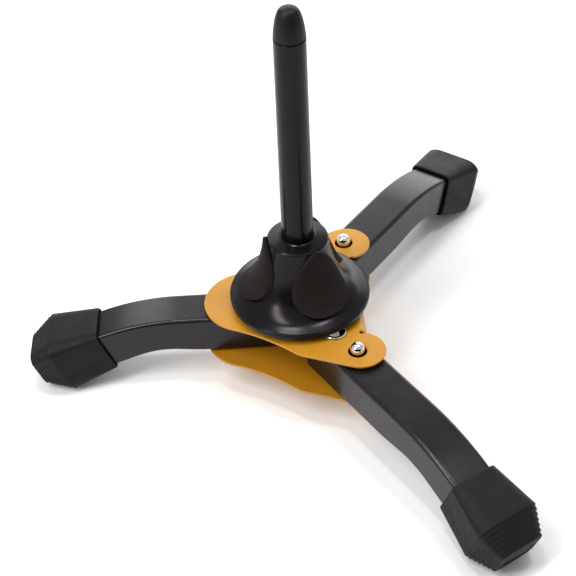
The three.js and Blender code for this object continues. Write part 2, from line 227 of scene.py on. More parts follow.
def mesh_of(name, points, faces):
    """A mesh whose points are merged where they meet and whose faces all look outwards."""
    mesh = bpy.data.meshes.new(name)
    mesh.from_pydata(points, [], faces)
    work = bmesh.new()
    work.from_mesh(mesh)
    bmesh.ops.remove_doubles(work, verts=work.verts, dist=1e-4)
    bmesh.ops.recalc_face_normals(work, faces=work.faces)
    work.to_mesh(mesh)
    work.free()
    return mesh


def joined(*parts):
    """Several (points, faces) as one."""
    points, faces = [], []
    for part_points, part_faces in parts:
        start = len(points)
        points += part_points
        faces += [tuple(start + i for i in face) for face in part_faces]
    return points, faces


def turned(profile, sides=96, closed=False):
    """A (radius, height) profile turned about Z. It closes on itself, or starts and ends on the axis."""
    points = [(r * cos(2 * pi * k / sides), r * sin(2 * pi * k / sides), z) for r, z in profile for k in range(sides)]
    rows = len(profile)
    faces = []
    for i in range(rows if closed else rows - 1):
        for k in range(sides):
            a, b = i * sides + k, i * sides + (k + 1) % sides
            c, d = (i + 1) % rows * sides + (k + 1) % sides, (i + 1) % rows * sides + k
            faces.append((a, b, c, d))
    return points, faces


def lofted(rings, closed=False):
    """Rings of equally many points, joined in order; the ends are capped unless the loft closes on itself."""
    size = len(rings[0])
    points = [p for ring in rings for p in ring]
    faces = []
    count = len(rings)
    for i in range(count if closed else count - 1):
        for k in range(size):
            j = (i + 1) % count
            faces.append((i * size + k, i * size + (k + 1) % size, j * size + (k + 1) % size, j * size + k))
    if not closed:
        faces.append(tuple(range(size)))
        faces.append(tuple((count - 1) * size + k for k in range(size)))
    return points, faces


def cut(obj, *cutters):
    """Cuts meshes out of an object for good."""
    for points, faces in cutters:
        tool = as_object("cutter", mesh_of("cutter", points, faces))
        modifier = obj.modifiers.new("cut", "BOOLEAN")
        modifier.operation, modifier.solver, modifier.object = "DIFFERENCE", "EXACT", tool
        graph = bpy.context.evaluated_depsgraph_get()
        mesh = bpy.data.meshes.new_from_object(obj.evaluated_get(graph))
        obj.modifiers.clear()
        obj.data = mesh
        bpy.data.objects.remove(tool)
    return obj


def rod(x, y, r, low, high, sides=40):
    """A closed upright cylinder."""
    points, faces = turned([(0, low), (r, low), (r, high), (0, high)], sides)
    return [(x + px, y + py, pz) for px, py, pz in points], faces


def placed(points, leg):
    """Points along a leg's own X axis, put where the leg stands."""
    turn = Matrix.Rotation(radians(leg["heading"]), 3, "Z")
    shift = Vector((*leg["at"], 0))
    return [tuple(turn @ Vector(p) + shift) for p in points]


def finish_piece(obj, body, material, slot, nodes, sharp=35, flexes=None):
    """Moves a piece made in millimetres into the row frame, shades it, and hides the CAD nodes it stands for.

    flexes is (other body, start, end) for a spring; when it is given, the piece is left in the row frame and attached
    to no body, and its values are not used.
    """
    mesh = obj.data
    for vertex in mesh.vertices:
        vertex.co = to_row(vertex.co)
    mesh.materials.clear()
    mesh.materials.append(material)
    mesh.polygons.foreach_set("material_index", [0] * len(mesh.polygons))
    mesh.polygons.foreach_set("use_smooth", [True] * len(mesh.polygons))
    mesh.set_sharp_from_angle(angle=radians(sharp))
    modifier = obj.modifiers.new("flat_faces", "WEIGHTED_NORMAL")
    modifier.keep_sharp = True
    if flexes:
        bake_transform(obj)
    else:
        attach(obj, body)
    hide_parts(*nodes)
    return obj


def piece(name, shape, body, material, slot, nodes, **options):
    """A finished piece from (points, faces) in millimetres."""
    return finish_piece(as_object(name, mesh_of(name, *shape)), body, material, slot, nodes, **options)


# ---- materials ----

COOL = (1.0, 0.92, 0.99)            # the faint violet cast of black moulded parts


class Surface:
    """A Principled material with helpers for the nodes that vary it."""

    def __init__(self, name, colour, roughness, metallic=0.0, specular=0.5, tint=(1, 1, 1)):
        self.material = bpy.data.materials.new(name)
        self.material.use_nodes = True
        self.tree = self.material.node_tree
        self.shader = self.tree.nodes["Principled BSDF"]
        self.colour = colour
        self.set("Base Color", (*colour, 1))
        self.set("Roughness", roughness)
        self.set("Metallic", metallic)
        self.set("Specular IOR Level", specular)
        self.set("Specular Tint", (*tint, 1))
        self.place = self.tree.nodes.new("ShaderNodeTexCoord").outputs["Object"]

    def set(self, socket, value):
        self.shader.inputs[socket].default_value = value

    def node(self, kind, **settings):
        made = self.tree.nodes.new(kind)
        for key, value in settings.items():
            setattr(made, key, value)
        return made

    def link(self, source, target):
        self.tree.links.new(source, target)

    def noise(self, size_mm, detail=3.0, rough=0.55, stretch=(1, 1, 1)):
        """Noise whose blotches are about size_mm across."""
        mapping = self.node("ShaderNodeMapping")
        mapping.inputs["Scale"].default_value = stretch
        made = self.node("ShaderNodeTexNoise")
        made.inputs["Scale"].default_value = 1 / (size_mm * MM)
        made.inputs["Detail"].default_value = detail
        made.inputs["Roughness"].default_value = rough
        self.link(self.place, mapping.inputs["Vector"])
        self.link(mapping.outputs["Vector"], made.inputs["Vector"])
        return made.outputs["Fac"]

    def ramp(self, source, low, high, start=0.3, end=0.7):
        """Takes a factor between start and end to a value between low and high."""
        made = self.node("ShaderNodeMapRange")
        for socket, value in (("From Min", start), ("From Max", end), ("To Min", low), ("To Max", high)):
            made.inputs[socket].default_value = value
        self.link(source, made.inputs["Value"])
        return made.outputs["Result"]

    def mix(self, factor, first, second):
        made = self.node("ShaderNodeMix", data_type="RGBA")
        self.link(factor, made.inputs["Factor"])
        for socket, value in (("A", first), ("B", second)):
            target = next(s for s in made.inputs if s.name == socket and s.type == "RGBA")
            if isinstance(value, tuple):
                target.default_value = (*value, 1)
            else:
                self.link(value, target)
        return next(s for s in made.outputs if s.type == "RGBA")

    def vary_colour(self, factor, other):
        first = self.colour
        linked = self.shader.inputs["Base Color"].links
        if linked:
            first = linked[0].from_socket
        self.link(self.mix(factor, first, other), self.shader.inputs["Base Color"])

    def vary_roughness(self, size_mm, low, high):
        self.link(self.ramp(self.noise(size_mm), low, high), self.shader.inputs["Roughness"])

    def bump(self, source, height_mm, strength=1.0):
        made = self.node("ShaderNodeBump")
        made.inputs["Distance"].default_value = height_mm * MM
        made.inputs["Strength"].default_value = strength
        self.link(source, made.inputs["Height"])
        chained = self.shader.inputs["Normal"].links
        if chained:
            self.link(chained[0].from_socket, made.inputs["Normal"])
        self.link(made.outputs["Normal"], self.shader.inputs["Normal"])

    def wear(self, colour, start=0.53, end=0.62, strength=1.0):
        """Convex edges take another colour, broken up by noise."""
        edge = self.ramp(self.node("ShaderNodeNewGeometry").outputs["Pointiness"], 0, strength, start, end)
        broken = self.ramp(self.noise(2.5), 0, 1, 0.35, 0.65)
        both = self.node("ShaderNodeMath", operation="MULTIPLY")
        self.link(edge, both.inputs[0])
        self.link(broken, both.inputs[1])
        self.vary_colour(both.outputs["Value"], colour)


def gold_paint():
    """Satin paint on sheet metal: faint orange peel and slightly paler at the edges."""
    s = Surface("gold_paint", (0.53, 0.238, 0.011), 0.38, specular=0.5)
    s.vary_colour(s.ramp(s.noise(18), 0, 1), (0.50, 0.218, 0.0095))
    s.wear((0.66, 0.36, 0.06), strength=0.5)
    s.vary_roughness(6, 0.34, 0.42)
    s.bump(s.noise(0.9, 2), 0.02, 0.5)
    return s.material


def black_coat():
    """Powder coat on steel tube."""
    s = Surface("black_coat", (0.0045, 0.0042, 0.0044), 0.28, specular=0.39, tint=COOL)
    s.vary_colour(s.ramp(s.noise(30), 0, 1), (0.0065, 0.0058, 0.0062))
    s.wear((0.03, 0.03, 0.031), strength=0.35)
    s.vary_roughness(9, 0.25, 0.31)
    s.bump(s.noise(0.8, 3), 0.02, 0.25)
    return s.material


def black_plastic():
    """Moulded plastic with a fine spark-eroded skin."""
    s = Surface("black_plastic", (0.0032, 0.0030, 0.0034), 0.22, specular=0.19, tint=COOL)
    s.vary_colour(s.ramp(s.noise(14), 0, 1), (0.0048, 0.0044, 0.0049))
    s.vary_roughness(5, 0.19, 0.25)
    s.bump(s.noise(0.4, 2), 0.005, 0.3)
    s.bump(s.noise(11, 1), 0.1, 0.3)
    return s.material


def rest_rubber():
    """Dull, faintly brown elastomer."""
    s = Surface("rest_rubber", (0.0085, 0.0062, 0.0055), 0.8, specular=0.17)
    s.vary_colour(s.ramp(s.noise(7), 0, 1), (0.0108, 0.0080, 0.0070))
    s.vary_roughness(4, 0.74, 0.86)
    s.bump(s.noise(0.3, 4, 0.7), 0.02, 0.6)
    return s.material


def foot_rubber():
    """Moulded rubber with a matt bloom."""
    s = Surface("foot_rubber", (0.0042, 0.0038, 0.0040), 0.55, specular=0.22, tint=COOL)
    s.vary_colour(s.ramp(s.noise(12), 0, 1), (0.0064, 0.0056, 0.0060))
    s.wear((0.028, 0.026, 0.027), strength=0.6)
    s.vary_roughness(5, 0.5, 0.62)
    s.bump(s.noise(0.45, 4, 0.65), 0.03, 0.6)
    s.bump(s.noise(9, 1), 0.15, 0.3)
    return s.material


def tip_rubber():
    """Smoother, slightly glossy rubber."""
    s = Surface("tip_rubber", (0.0032, 0.0028, 0.0032), 0.42, specular=0.25, tint=COOL)
    s.vary_colour(s.ramp(s.noise(8), 0, 1), (0.0065, 0.0058, 0.0062))
    s.vary_roughness(3, 0.4, 0.5)
    s.bump(s.noise(0.4, 3), 0.015, 0.5)
    return s.material


def bright_plate():
    """Polished nickel plate with faint scuffs."""
    s = Surface("bright_plate", (0.82, 0.81, 0.80), 0.07, metallic=1.0)
    s.vary_roughness(1.2, 0.05, 0.13)
    s.bump(s.noise(0.5, 2, stretch=(1, 1, 6)), 0.004, 0.4)
    return s.material


def plain_steel():
    """Zinc-plated fasteners."""
    s = Surface("steel", (0.55, 0.55, 0.56), 0.33, metallic=1.0)
    s.vary_colour(s.ramp(s.noise(2), 0, 1), (0.47, 0.47, 0.46))
    s.vary_roughness(0.8, 0.26, 0.42)
    s.bump(s.noise(0.25, 3, stretch=(1, 1, 8)), 0.01, 0.5)
    return s.material


def nylon():
    """Pale washers and spacers."""
    s = Surface("nylon", (0.62, 0.60, 0.55), 0.5)
    s.vary_colour(s.ramp(s.noise(3), 0, 1), (0.55, 0.53, 0.47))
    s.vary_roughness(1.5, 0.45, 0.58)
    s.bump(s.noise(0.4, 2), 0.01, 0.5)
    return s.material


# ---- bracket: a flat pattern, folded ----

FOLD_START = WEB_X - FOLD_R
FOLD_MID_R = FOLD_R - SHEET / 2
FOLD_LENGTH = FOLD_MID_R * pi / 2
WEB_LENGTH = DECK_STEP + SHEET - 2 * FOLD_R
PATTERN_LENGTH = FOLD_START + 2 * FOLD_LENGTH + WEB_LENGTH


def deck_edge():
    """Half of a deck's edge, from the notch beside the fold round to the nose."""
    leave = NOSE["x"] + NOSE["r"] * cos(radians(NOSE["to"])), NOSE["r"] * sin(radians(NOSE["to"]))
    blunt = bezier(((CORNER[0] + 1.4, CORNER[1] + 0.7), CORNER, (CORNER[0] - 1.1, CORNER[1] - 1)), 5)
    hollow = bezier((blunt[-1], HOLLOW, (leave[0] + 11.1, leave[1] + 4.5), leave), 16)
    notch = arc(NOTCH["x"], NOTCH["y"], NOTCH["r"], 310, 35, 12)
    lobe = arc(LOBE["x"], LOBE["y"], LOBE["r"], LOBE["from"], LOBE["to"], 36)
    nose = arc(NOSE["x"], 0, NOSE["r"], NOSE["to"], 180, 18)
    return notch + lobe + blunt + hollow[1:] + nose[1:]


def flat_pattern():
    """The whole sheet unfolded: the top deck, the web, and the bottom deck facing the other way."""
    edge = deck_edge()
    top = edge[:-1] + [(x, -y) for x, y in reversed(edge)]
    bottom = [(PATTERN_LENGTH + FOLD_START - x, y) for x, y in top]
    return top + bottom[::-1]


def folded(p):
    """A point of the flat pattern (along, across, above the middle of the sheet) on the folded sheet."""
    u, v, w = p
    off_fold = abs(v) > WEB_HALF + 0.4
    if u <= FOLD_START or (off_fold and u < (FOLD_START + PATTERN_LENGTH) / 2):
        return u, v, w - SHEET / 2
    bottom = -DECK_STEP - SHEET / 2
    if u >= PATTERN_LENGTH or off_fold:
        return FOLD_START + PATTERN_LENGTH - u, v, bottom - w
    along = u - FOLD_START
    if along < FOLD_LENGTH:
        a = along / FOLD_MID_R
        return FOLD_START + (FOLD_MID_R + w) * sin(a), v, -FOLD_R + (FOLD_MID_R + w) * cos(a)
    along -= FOLD_LENGTH
    if along < WEB_LENGTH:
        return WEB_X - SHEET / 2 + w, v, -FOLD_R - along
    a = (along - WEB_LENGTH) / FOLD_MID_R
    low = -DECK_STEP - SHEET + FOLD_R
    return FOLD_START + (FOLD_MID_R + w) * cos(a), v, low - (FOLD_MID_R + w) * sin(a)


def sheet_mesh(outlines):
    """A sheet with softly rounded rims, from an outline and its holes."""
    curve = bpy.data.curves.new("pattern", "CURVE")
    curve.dimensions, curve.fill_mode = "2D", "BOTH"
    curve.extrude = SHEET / 2 - SHEET_EDGE
    curve.bevel_depth, curve.bevel_resolution, curve.offset = SHEET_EDGE, 2, -SHEET_EDGE
    for outline in outlines:
        spline = curve.splines.new("POLY")
        spline.points.add(len(outline) - 1)
        for point, (x, y) in zip(spline.points, outline):
            point.co = x, y, 0, 1
        spline.use_cyclic_u = True
    drawn = as_object("pattern", curve)
    bpy.context.view_layer.update()
    mesh = bpy.data.meshes.new_from_object(drawn.evaluated_get(bpy.context.evaluated_depsgraph_get()))
    bpy.data.objects.remove(drawn)
    return mesh


def lock_place(name):
    """The middle of a lock button, with its leg open."""
    leg = LEGS[name]
    return placed([(LOCK_AT, LOCK_SIDE, 0)], leg)[0]


def askew(p, degrees):
    """A point turned about the hub's axis."""
    return tuple(Matrix.Rotation(radians(degrees), 3, "Z") @ Vector(p))


def bracket(material):
    """The sheet with its holes, creased across the folds, then folded and turned."""
    holes = []
    for name in ("front", "back"):
        x, y, _ = askew(lock_place(name), -BRACKET_TURN)
        holes.append(circle(x, y, LOCK_HOLE_R))
    mirror = PATTERN_LENGTH + FOLD_START
    through = ((*PIVOT, PIVOT_HOLE_R), (PIVOT[0], -PIVOT[1], PIVOT_HOLE_R),
               (0, 0, BOLT_HOLE_R), (-FIXED_RIVET, 0, BOLT_HOLE_R))
    for px, py, r in through:
        x, y, _ = askew((px, py, 0), -BRACKET_TURN)
        holes.append(circle(x, y, r))
        holes.append(circle(mirror - x, y, r))
    mesh = sheet_mesh([flat_pattern(), *holes])
    work = bmesh.new()
    work.from_mesh(mesh)
    bmesh.ops.remove_doubles(work, verts=work.verts, dist=1e-3)
    steps = 9                           # flats in each fold
    creases = [FOLD_START + FOLD_LENGTH * k / steps for k in range(steps + 1)]
    creases += [PATTERN_LENGTH - FOLD_LENGTH * k / steps for k in range(steps + 1)]
    for u in creases:
        everything = work.verts[:] + work.edges[:] + work.faces[:]
        bmesh.ops.bisect_plane(work, geom=everything, plane_co=(u, 0, 0), plane_no=(1, 0, 0), dist=1e-4)
    for vertex in work.verts:
        vertex.co = askew(folded(vertex.co), BRACKET_TURN)
    bmesh.ops.recalc_face_normals(work, faces=work.faces)
    work.to_mesh(mesh)
    work.free()
    return finish_piece(as_object("bracket_sheet", mesh), "stand", material, "gold_paint", ["bracket"])


# ---- legs ----

def spine(straight, s):
    """Where a leg's middle line is at a length s from its pivot or hub axis: x, z and slope in radians."""
    a = min(max(s - straight, 0), BEND_LENGTH) / BEND_R
    x = min(s, straight) + BEND_R * sin(a)
    z = TUBE_Z - BEND_R * (1 - cos(a))
    past = max(s - straight - BEND_LENGTH, 0)
    return x + past * cos(a), z - past * sin(a), a


def bend_end(straight):
    """The length at which a leg's bend ends."""
    return straight + BEND_LENGTH


def across(straight, s, outline):
    """An outline (sideways, upwards) set square to a leg's middle line."""
    x, z, a = spine(straight, s)
    return [(x + up * sin(a), side, z + up * cos(a)) for side, up in outline]


def tube_outline(inset, r, pinch=0.0):
    """The tube's section, drawn in by inset. Its underside rises by pinch where the bend starts."""
    wide, tall = TUBE_WIDTH / 2 - inset, TUBE_HEIGHT / 2 - inset
    out = []
    for side, up in rounded_box(-wide, wide, -tall, tall, r):
        out.append((side, up + pinch if up < 0 else up))
    return out


def stations(start, straight):
    """Lengths at which a tube's sections are drawn, close together where it is pinched and bent."""
    end = bend_end(straight)
    plain, bent = 8, 44
    stops = [start, start + 0.6]
    stops += [start + (straight - PINCH_START - start) * k / plain for k in range(1, plain + 1)]
    stops += [straight - PINCH_START + (end - straight + PINCH_START) * k / bent for k in range(1, bent + 1)]
    return stops + [end + TAIL / 2, end + TAIL]


def pinch_at(s, straight):
    """The underside is squeezed up early in the bend, and eases out both ways."""
    away = min(abs(s - straight - PINCH_PEAK) / (PINCH_START + PINCH_PEAK), 1)
    return PINCH * cos(away * pi / 2) ** 2


def leg_tube(name, start, holes, material):
    """A bent square tube, open at both ends, with its holes cut before it is put in place."""
    leg = LEGS[name]
    straight = leg["straight"]
    stops = stations(start, straight)
    rings = []
    for i, s in enumerate(stops):
        worn = 0.3 if i == 0 else 0         # the cut end's edge is broken
        rings.append(across(straight, s, tube_outline(worn, TUBE_R, pinch_at(s, straight))))
    for s in reversed(stops):
        rings.append(across(straight, s, tube_outline(TUBE_WALL, 0.8, pinch_at(s, straight))))
    points, faces = lofted(rings, closed=True)
    obj = as_object(f"{name}_tube", mesh_of(f"{name}_tube", points, faces))
    cut(obj, *holes)
    for vertex in obj.data.vertices:
        vertex.co = placed([vertex.co], leg)[0]
    return finish_piece(obj, leg["body"], material, "black_coat", [f"{name}_leg_tube"], sharp=40)


# ---- feet: sleeves that flare, then step down to a small end face ----

FOOT = {
    "mouth": {"at": 0.0, "w": 12.4, "up": 12.5, "down": 11.6, "r": 4.6, "low_r": 2.2},
    "widest": {"at": 25.2, "w": 16.6, "up": 17.5, "down": 15.0, "r": 8.4, "low_r": 8.0},
    "end": {"at": 38.9, "w": 11.4, "up": 11.6, "down": 7.4, "r": 5.6, "low_r": 5.0},
}
FOOT_SQUASH = 0.6                   # flatness of the upper corners
FOOT_LIP = ((0.0, -0.4), (0.12, -0.2), (0.4, -0.05), (0.9, 0.0))        # (along, outwards) at the mouth
FOOT_STEP = ((0.0, 0.0), (0.35, -0.18), (0.7, -0.55))                   # and where the ribs begin
FOOT_BORE = ((TAIL + 0.3, 0.2, 0.0), (3.2, 0.2, 0.0), (1.2, 0.45, 0.1), (0.1, 0.7, 0.2))    # (along, gap, lift)
RIBS = 6
RIB_HEIGHT = 0.22
RIB_SHAPE = ((0.0, -1.0), (0.08, -0.93), (0.66, 0.75), (0.78, 0.9), (0.87, 0.55), (0.93, -0.35))
END_EDGE = 0.9                      # rounding of the end face
END_GROOVE = ((0.9, 0.0), (1.9, 0.0), (2.05, -0.8), (2.75, -0.8), (2.9, 0.0))   # (inwards, along)
SEAM = -3.4                         # height of the parting line


def between(first, second, t, swell=0.0):
    """A section's sizes part of the way from one section to another, made larger by swell."""
    sizes = {k: first[k] + (second[k] - first[k]) * t for k in first}
    for k in ("w", "up", "down"):
        sizes[k] += swell
    return sizes


def foot_sections():
    """Sections from the mouth over the smooth flare and the ribs to the end face."""
    mouth, widest, end = FOOT["mouth"], FOOT["widest"], FOOT["end"]
    sections = [between(mouth, widest, a / widest["at"], swell) for a, swell in FOOT_LIP]
    sections += [between(mouth, widest, 0.035 + 0.935 * k / 11) for k in range(1, 12)]
    sections += [{**between(widest, widest, 0, swell), "at": widest["at"] + a} for a, swell in FOOT_STEP]
    for rib in range(RIBS):
        for along, height in RIB_SHAPE:
            sections.append(between(widest, end, 0.05 + 0.93 * (rib + along) / RIBS, height * RIB_HEIGHT))
    sections.append(between(widest, end, 0.985, -0.35))
    sections.append(between(widest, end, 1.0, -END_EDGE))
    return sections


def foot_ring(straight, section):
    """The outline of one section of a foot, set on the leg's middle line."""
    w, up, down = (section[k] for k in ("w", "up", "down"))
    outline = seamed(rounded_box(-w, w, -down, up, section["r"], 7, section["low_r"], FOOT_SQUASH), w)
    return across(straight, bend_end(straight) + section["at"], outline)


def seamed(outline, w):
    """The mould's parting line, a fine groove along both sides of a section."""
    quarter = len(outline) // 4
    groove = ((w, 0.22), (w - 0.16, 0.0), (w, -0.22))
    left = [(-x, SEAM + z) for x, z in groove]
    right = [(x, SEAM + z) for x, z in reversed(groove)]
    return outline[:2 * quarter] + left + outline[2 * quarter:] + right


def end_face(straight, section):
    """Rings across the end face, with a thin groove round its middle."""
    at = bend_end(straight) + section["at"]
    middle = (section["up"] - section["down"]) / 2
    rings = []
    for inwards, along in END_GROOVE:
        w = section["w"] - END_EDGE - inwards
        tall = (section["up"] + section["down"]) / 2 - END_EDGE - inwards
        ring = seamed(rounded_box(-w, w, middle - tall, middle + tall, max(4.5 - inwards, 0.5), 7), w)
        rings.append(across(straight, at + along, ring))
    return rings


def foot(name, material):
    """A rubber sleeve whose bore fits the tube and opens a little at the mouth."""
    leg = LEGS[name]
    straight = leg["straight"]
    sections = foot_sections()
    rings = [foot_ring(straight, section) for section in sections]
    rings += end_face(straight, sections[-1])
    inside = []
    for at, gap, lift in FOOT_BORE:
        outline = [(x, z + lift) for x, z in tube_outline(-gap, TUBE_R)]
        inside.append(across(straight, bend_end(straight) + at, outline))
    size = len(rings[0])
    points, faces = lofted([spread(ring, size) for ring in inside] + rings)
    points = [(x, y, max(z, GROUND)) for x, y, z in placed(points, leg)]
    return piece(f"{name}_foot", (points, faces), leg["body"], material, "foot_rubber", [f"{name}_leg_foot"], sharp=50)


def spread(ring, size):
    """The same closed ring with another number of points, evenly picked."""
    count = len(ring)
    out = []
    for k in range(size):
        place = k * count / size
        i = int(place)
        out.append(tuple(Vector(ring[i]).lerp(Vector(ring[(i + 1) % count]), place - i)))
    return out


# ---- hub, rests and peg ----

REST_SIDE = bezier(((0, REST_TOP), (5.2, 39.4), (12.2, 29.5), (14.8, 16.5)), 18)
REST_SIDE += bezier(((14.8, 16.5), (15.6, 11.2), (11, REST_FOOT), (0, REST_FOOT)), 14)[1:]


def flank(offset=0.0, steps=26):
    """The hub's hollow flank, moved outwards by offset."""
    line = bezier(FLANK, steps)
    if not offset:
        return line
    out = []
    for i, (r, z) in enumerate(line):
        (r0, z0), (r1, z1) = line[max(i - 1, 0)], line[min(i + 1, steps)]
        length = hypot(r1 - r0, z1 - z0)
        out.append((r + offset * (z1 - z0) / length, z - offset * (r1 - r0) / length))
    return out


def hub(material):
    """A hollow flared cone with a small bead round its rim and a collar round its socket."""
    rim = filleted([
        (31.2, 2.4, 0), (34.5, 2.4, 0.9), (HUB_RIM_R, 3.3, 0.8), (HUB_RIM_R, 5.1, 0.5), (34.9, 5.6, 0.3),
        (34.4, 5.45, 0.2), (34.1, 5.86, 0.15), (32.7, 6.38, 0),
    ], 5, closed=False)
    top = filleted([
        (HUB_TOP_R, 38.6, 0), (HUB_TOP_R, 39.35, 0.5), (14.55, 39.95, 0.5), (9.3, 40.75, 0.5),
        (8.5, 41.1, 0.25), (SOCKET_R, 41.1, 0.15), (SOCKET_R, 14, 0),
    ], 5, closed=False)
    inside = [(BOLT_HOLE_R, 14), (BOLT_HOLE_R, GAP), (10.4, GAP), (10.6, 32), (12.2, 34)]
    inside += [(r - 2.4, z - 1.6) for r, z in reversed(flank()[2:20])]
    profile = rim + flank() + top[1:] + inside
    return piece("hub_body", turned(profile, 128, closed=True), "stand", material, "black_plastic", ["hub"])


def rest_half_width(z):
    """Half of a rest's width, seen along the hub's radius: a leaf, blunt at the top and full at the foot."""
    side = REST_SIDE[::-1]
    for (w0, z0), (w1, z1) in zip(side, side[1:]):
        if z <= z1:
            return w0 + (w1 - w0) * max(z - z0, 0) / (z1 - z0)
    return side[-1][0]


def rest_surface(offset):
    """Radius of the flank moved out by offset, at any height."""
    line = flank(offset) + [(HUB_TOP_R + offset, 45)]

    def radius(z):
        for (r0, z0), (r1, z1) in zip(line, line[1:]):
            if z <= z1:
                t = max((z - z0) / (z1 - z0), 0)
                return r0 + (r1 - r0) * t
        return line[-1][0]

    return radius


def bell_rest(number, azimuth, material):
    """A leaf of even thickness that follows the flank, with a softly rounded rim."""
    low, high = REST_FOOT, REST_TOP
    rows, columns = 48, 18
    heights = [low + (high - low) * (0.5 - 0.5 * cos(pi * i / rows)) for i in range(rows + 1)]
    outer = REST_GAP + REST_THICKNESS
    layers = ((REST_GAP, 0.0), (outer - 0.45, 0.0), (outer - 0.12, 0.18), (outer, 0.55))
    grids = []
    for offset, shrink in layers:
        radius = rest_surface(offset)
        grid = []
        for z in heights:
            z_in = min(max(z, low + shrink), high - shrink * 2)
            r = radius(z_in)
            half = asin(max(rest_half_width(z) - shrink, 0.02) / r)
            row = []
            for k in range(columns + 1):
                a = radians(azimuth) + half * (2 * k / columns - 1)
                row.append((r * cos(a), r * sin(a), z_in))
            grid.append(row)
        grids.append(grid)
    return piece(f"rest_{number}", leaf_faces(grids, rows, columns), "stand", material, "rest_rubber",
                 [f"bell_rest_{number}"], sharp=60)


def leaf_faces(grids, rows, columns):
    """Front and back sheets of a leaf, and the rim between them, from stacked grids of points."""
    wide = columns + 1
    layer = (rows + 1) * wide
    points = [p for grid in grids for row in grid for p in row]
    faces = []
    for base in (0, (len(grids) - 1) * layer):
        for i in range(rows):
            for k in range(columns):
                a = base + i * wide + k
                faces.append((a, a + 1, a + wide + 1, a + wide))
    rim = list(range(wide))
    rim += [i * wide + columns for i in range(1, rows + 1)]
    rim += [rows * wide + k for k in range(columns - 1, -1, -1)]
    rim += [i * wide for i in range(rows - 1, 0, -1)]
    for level in range(len(grids) - 1):
        for a, b in zip(rim, rim[1:] + rim[:1]):
            low, high = level * layer, (level + 1) * layer
            faces.append((low + a, low + b, high + b, high + a))
    return points, faces


def peg(material):
    """A tube that narrows slightly towards its top, with a floor that the bolt passes through."""
    profile = filleted([
        (BOLT_HOLE_R, 14.3, 0), (PEG_FOOT_R, 14.3, 0), (PEG_FOOT_R, HUB_TOP, 0), (PEG_HEAD_R, PEG_TOP, 0.35),
        (5.6, PEG_TOP, 0.3), (6.2, 17.3, 0), (BOLT_HOLE_R, 17.3, 0),
    ], 4)
    return piece("peg_shaft", turned(profile, 96, closed=True), "stand", material, "black_plastic", ["peg_tube"])


def peg_tip(material):
    """A rubber bullet whose stem is pushed into the peg."""
    base = PEG_TOP + GAP
    cap = bezier(((PEG_HEAD_R - 0.02, base + 0.35), (7.05, base + 6.5), (5.9, TIP - 1.6), (3.5, TIP - 0.6)), 16)
    crown = bezier(((3.5, TIP - 0.6), (2.0, TIP), (0, TIP)), 8)
    foot_edge = [(0, PEG_TOP - 12), (4.8, PEG_TOP - 12), (5.3, PEG_TOP - 11), (5.3, base), (PEG_HEAD_R - 0.25, base)]
    profile = foot_edge + cap + crown[1:]
    return piece("peg_cap", turned(profile, 96), "stand", material, "tip_rubber", ["peg_tip"])


# ---- pivots, lock clips and fasteners ----

def pivot_rivet(name, material):
    """A tubular rivet whose two ends are rolled over."""
    low = -DECK_STEP - SHEET - GAP
    roll = [
        (RIVET_BORE_R, RIVET_PLAIN, 0), (RIVET_BORE_R, GAP + 0.35, 0.5), (RIVET_BORE_R + 0.3, GAP + 0.95, 0.3),
        (RIVET_HEAD_R - 0.35, GAP + 0.95, 0.35), (RIVET_HEAD_R, GAP + 0.45, 0.3), (RIVET_HEAD_R - 0.1, GAP, 0.1),
        (RIVET_R, GAP, 0.1), (RIVET_R, RIVET_PLAIN, 0),
    ]
    upper = filleted(roll, 4, closed=False)
    lower = [(r, low + GAP - z) for r, z in reversed(upper)]
    points, faces = turned(upper + lower, 72, closed=True)
    leg = LEGS[name]
    points = [(x + leg["at"][0], y + leg["at"][1], z) for x, y, z in points]
    return piece(f"{name}_rivet", (points, faces), "stand", material, "bright_plate", [f"{name}_pivot_rivet"])


def lock_spring(name, material):
    """A strip spring folded inside the tube, from under the button back along the tube's floor; it is one rigid piece
    attached to no body.
    """
    middle = (SPRING_TOP + SPRING_FLOOR) / 2 - 1.5
    line = [(LOCK_AT - 5.5, SPRING_TOP - LEAF / 2), (LOCK_AT + 6, SPRING_TOP - LEAF / 2)]
    line += arc(SPRING_BEND, middle, SPRING_BEND_R - LEAF / 2, 90, -90, 14)
    line += [(LOCK_AT + 8, SPRING_FLOOR + LEAF / 2), (LOCK_AT + 2, SPRING_FLOOR + LEAF / 2)]
    points, faces = strip(line, SPRING_WIDTH, LEAF)
    points = [(x, y + LOCK_SIDE, z) for x, y, z in points]
    return piece(f"{name}_lock_spring", (placed(points, LEGS[name]), faces), f"{name}_button", material,
                 "bright_plate", [f"{name}_lock_clip"],
                 flexes=(f"{name}_leg", (0, 0, SPRING_TOP - DOME_TAIL), (0, 0, SPRING_FLOOR + LEAF)))


def lock_button(name, material):
    """A bright dome riveted to the free end of the spring. The deck holds it down when the leg is folded."""
    top, skirt = SPRING_TOP, DOME_R + 0.35
    dome = [(0, top - DOME_TAIL), (1.6, top - DOME_TAIL), (1.6, top - LEAF), (skirt, top - 0.4), (skirt, top)]
    dome += [(DOME_R, top + 0.15), (DOME_R, DOME_TOP - DOME_R - 0.1)]
    dome += [(DOME_R * cos(radians(a)), DOME_TOP - DOME_R + DOME_R * sin(radians(a))) for a in range(0, 91, 6)]
    points, faces = turned(dome, 64)
    points = [(x + LOCK_AT, y + LOCK_SIDE, z) for x, y, z in points]
    button = piece(f"{name}_lock_button", (placed(points, LEGS[name]), faces), f"{name}_button", material,
                   "bright_plate", [f"{name}_lock_clip"])
    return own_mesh(button)


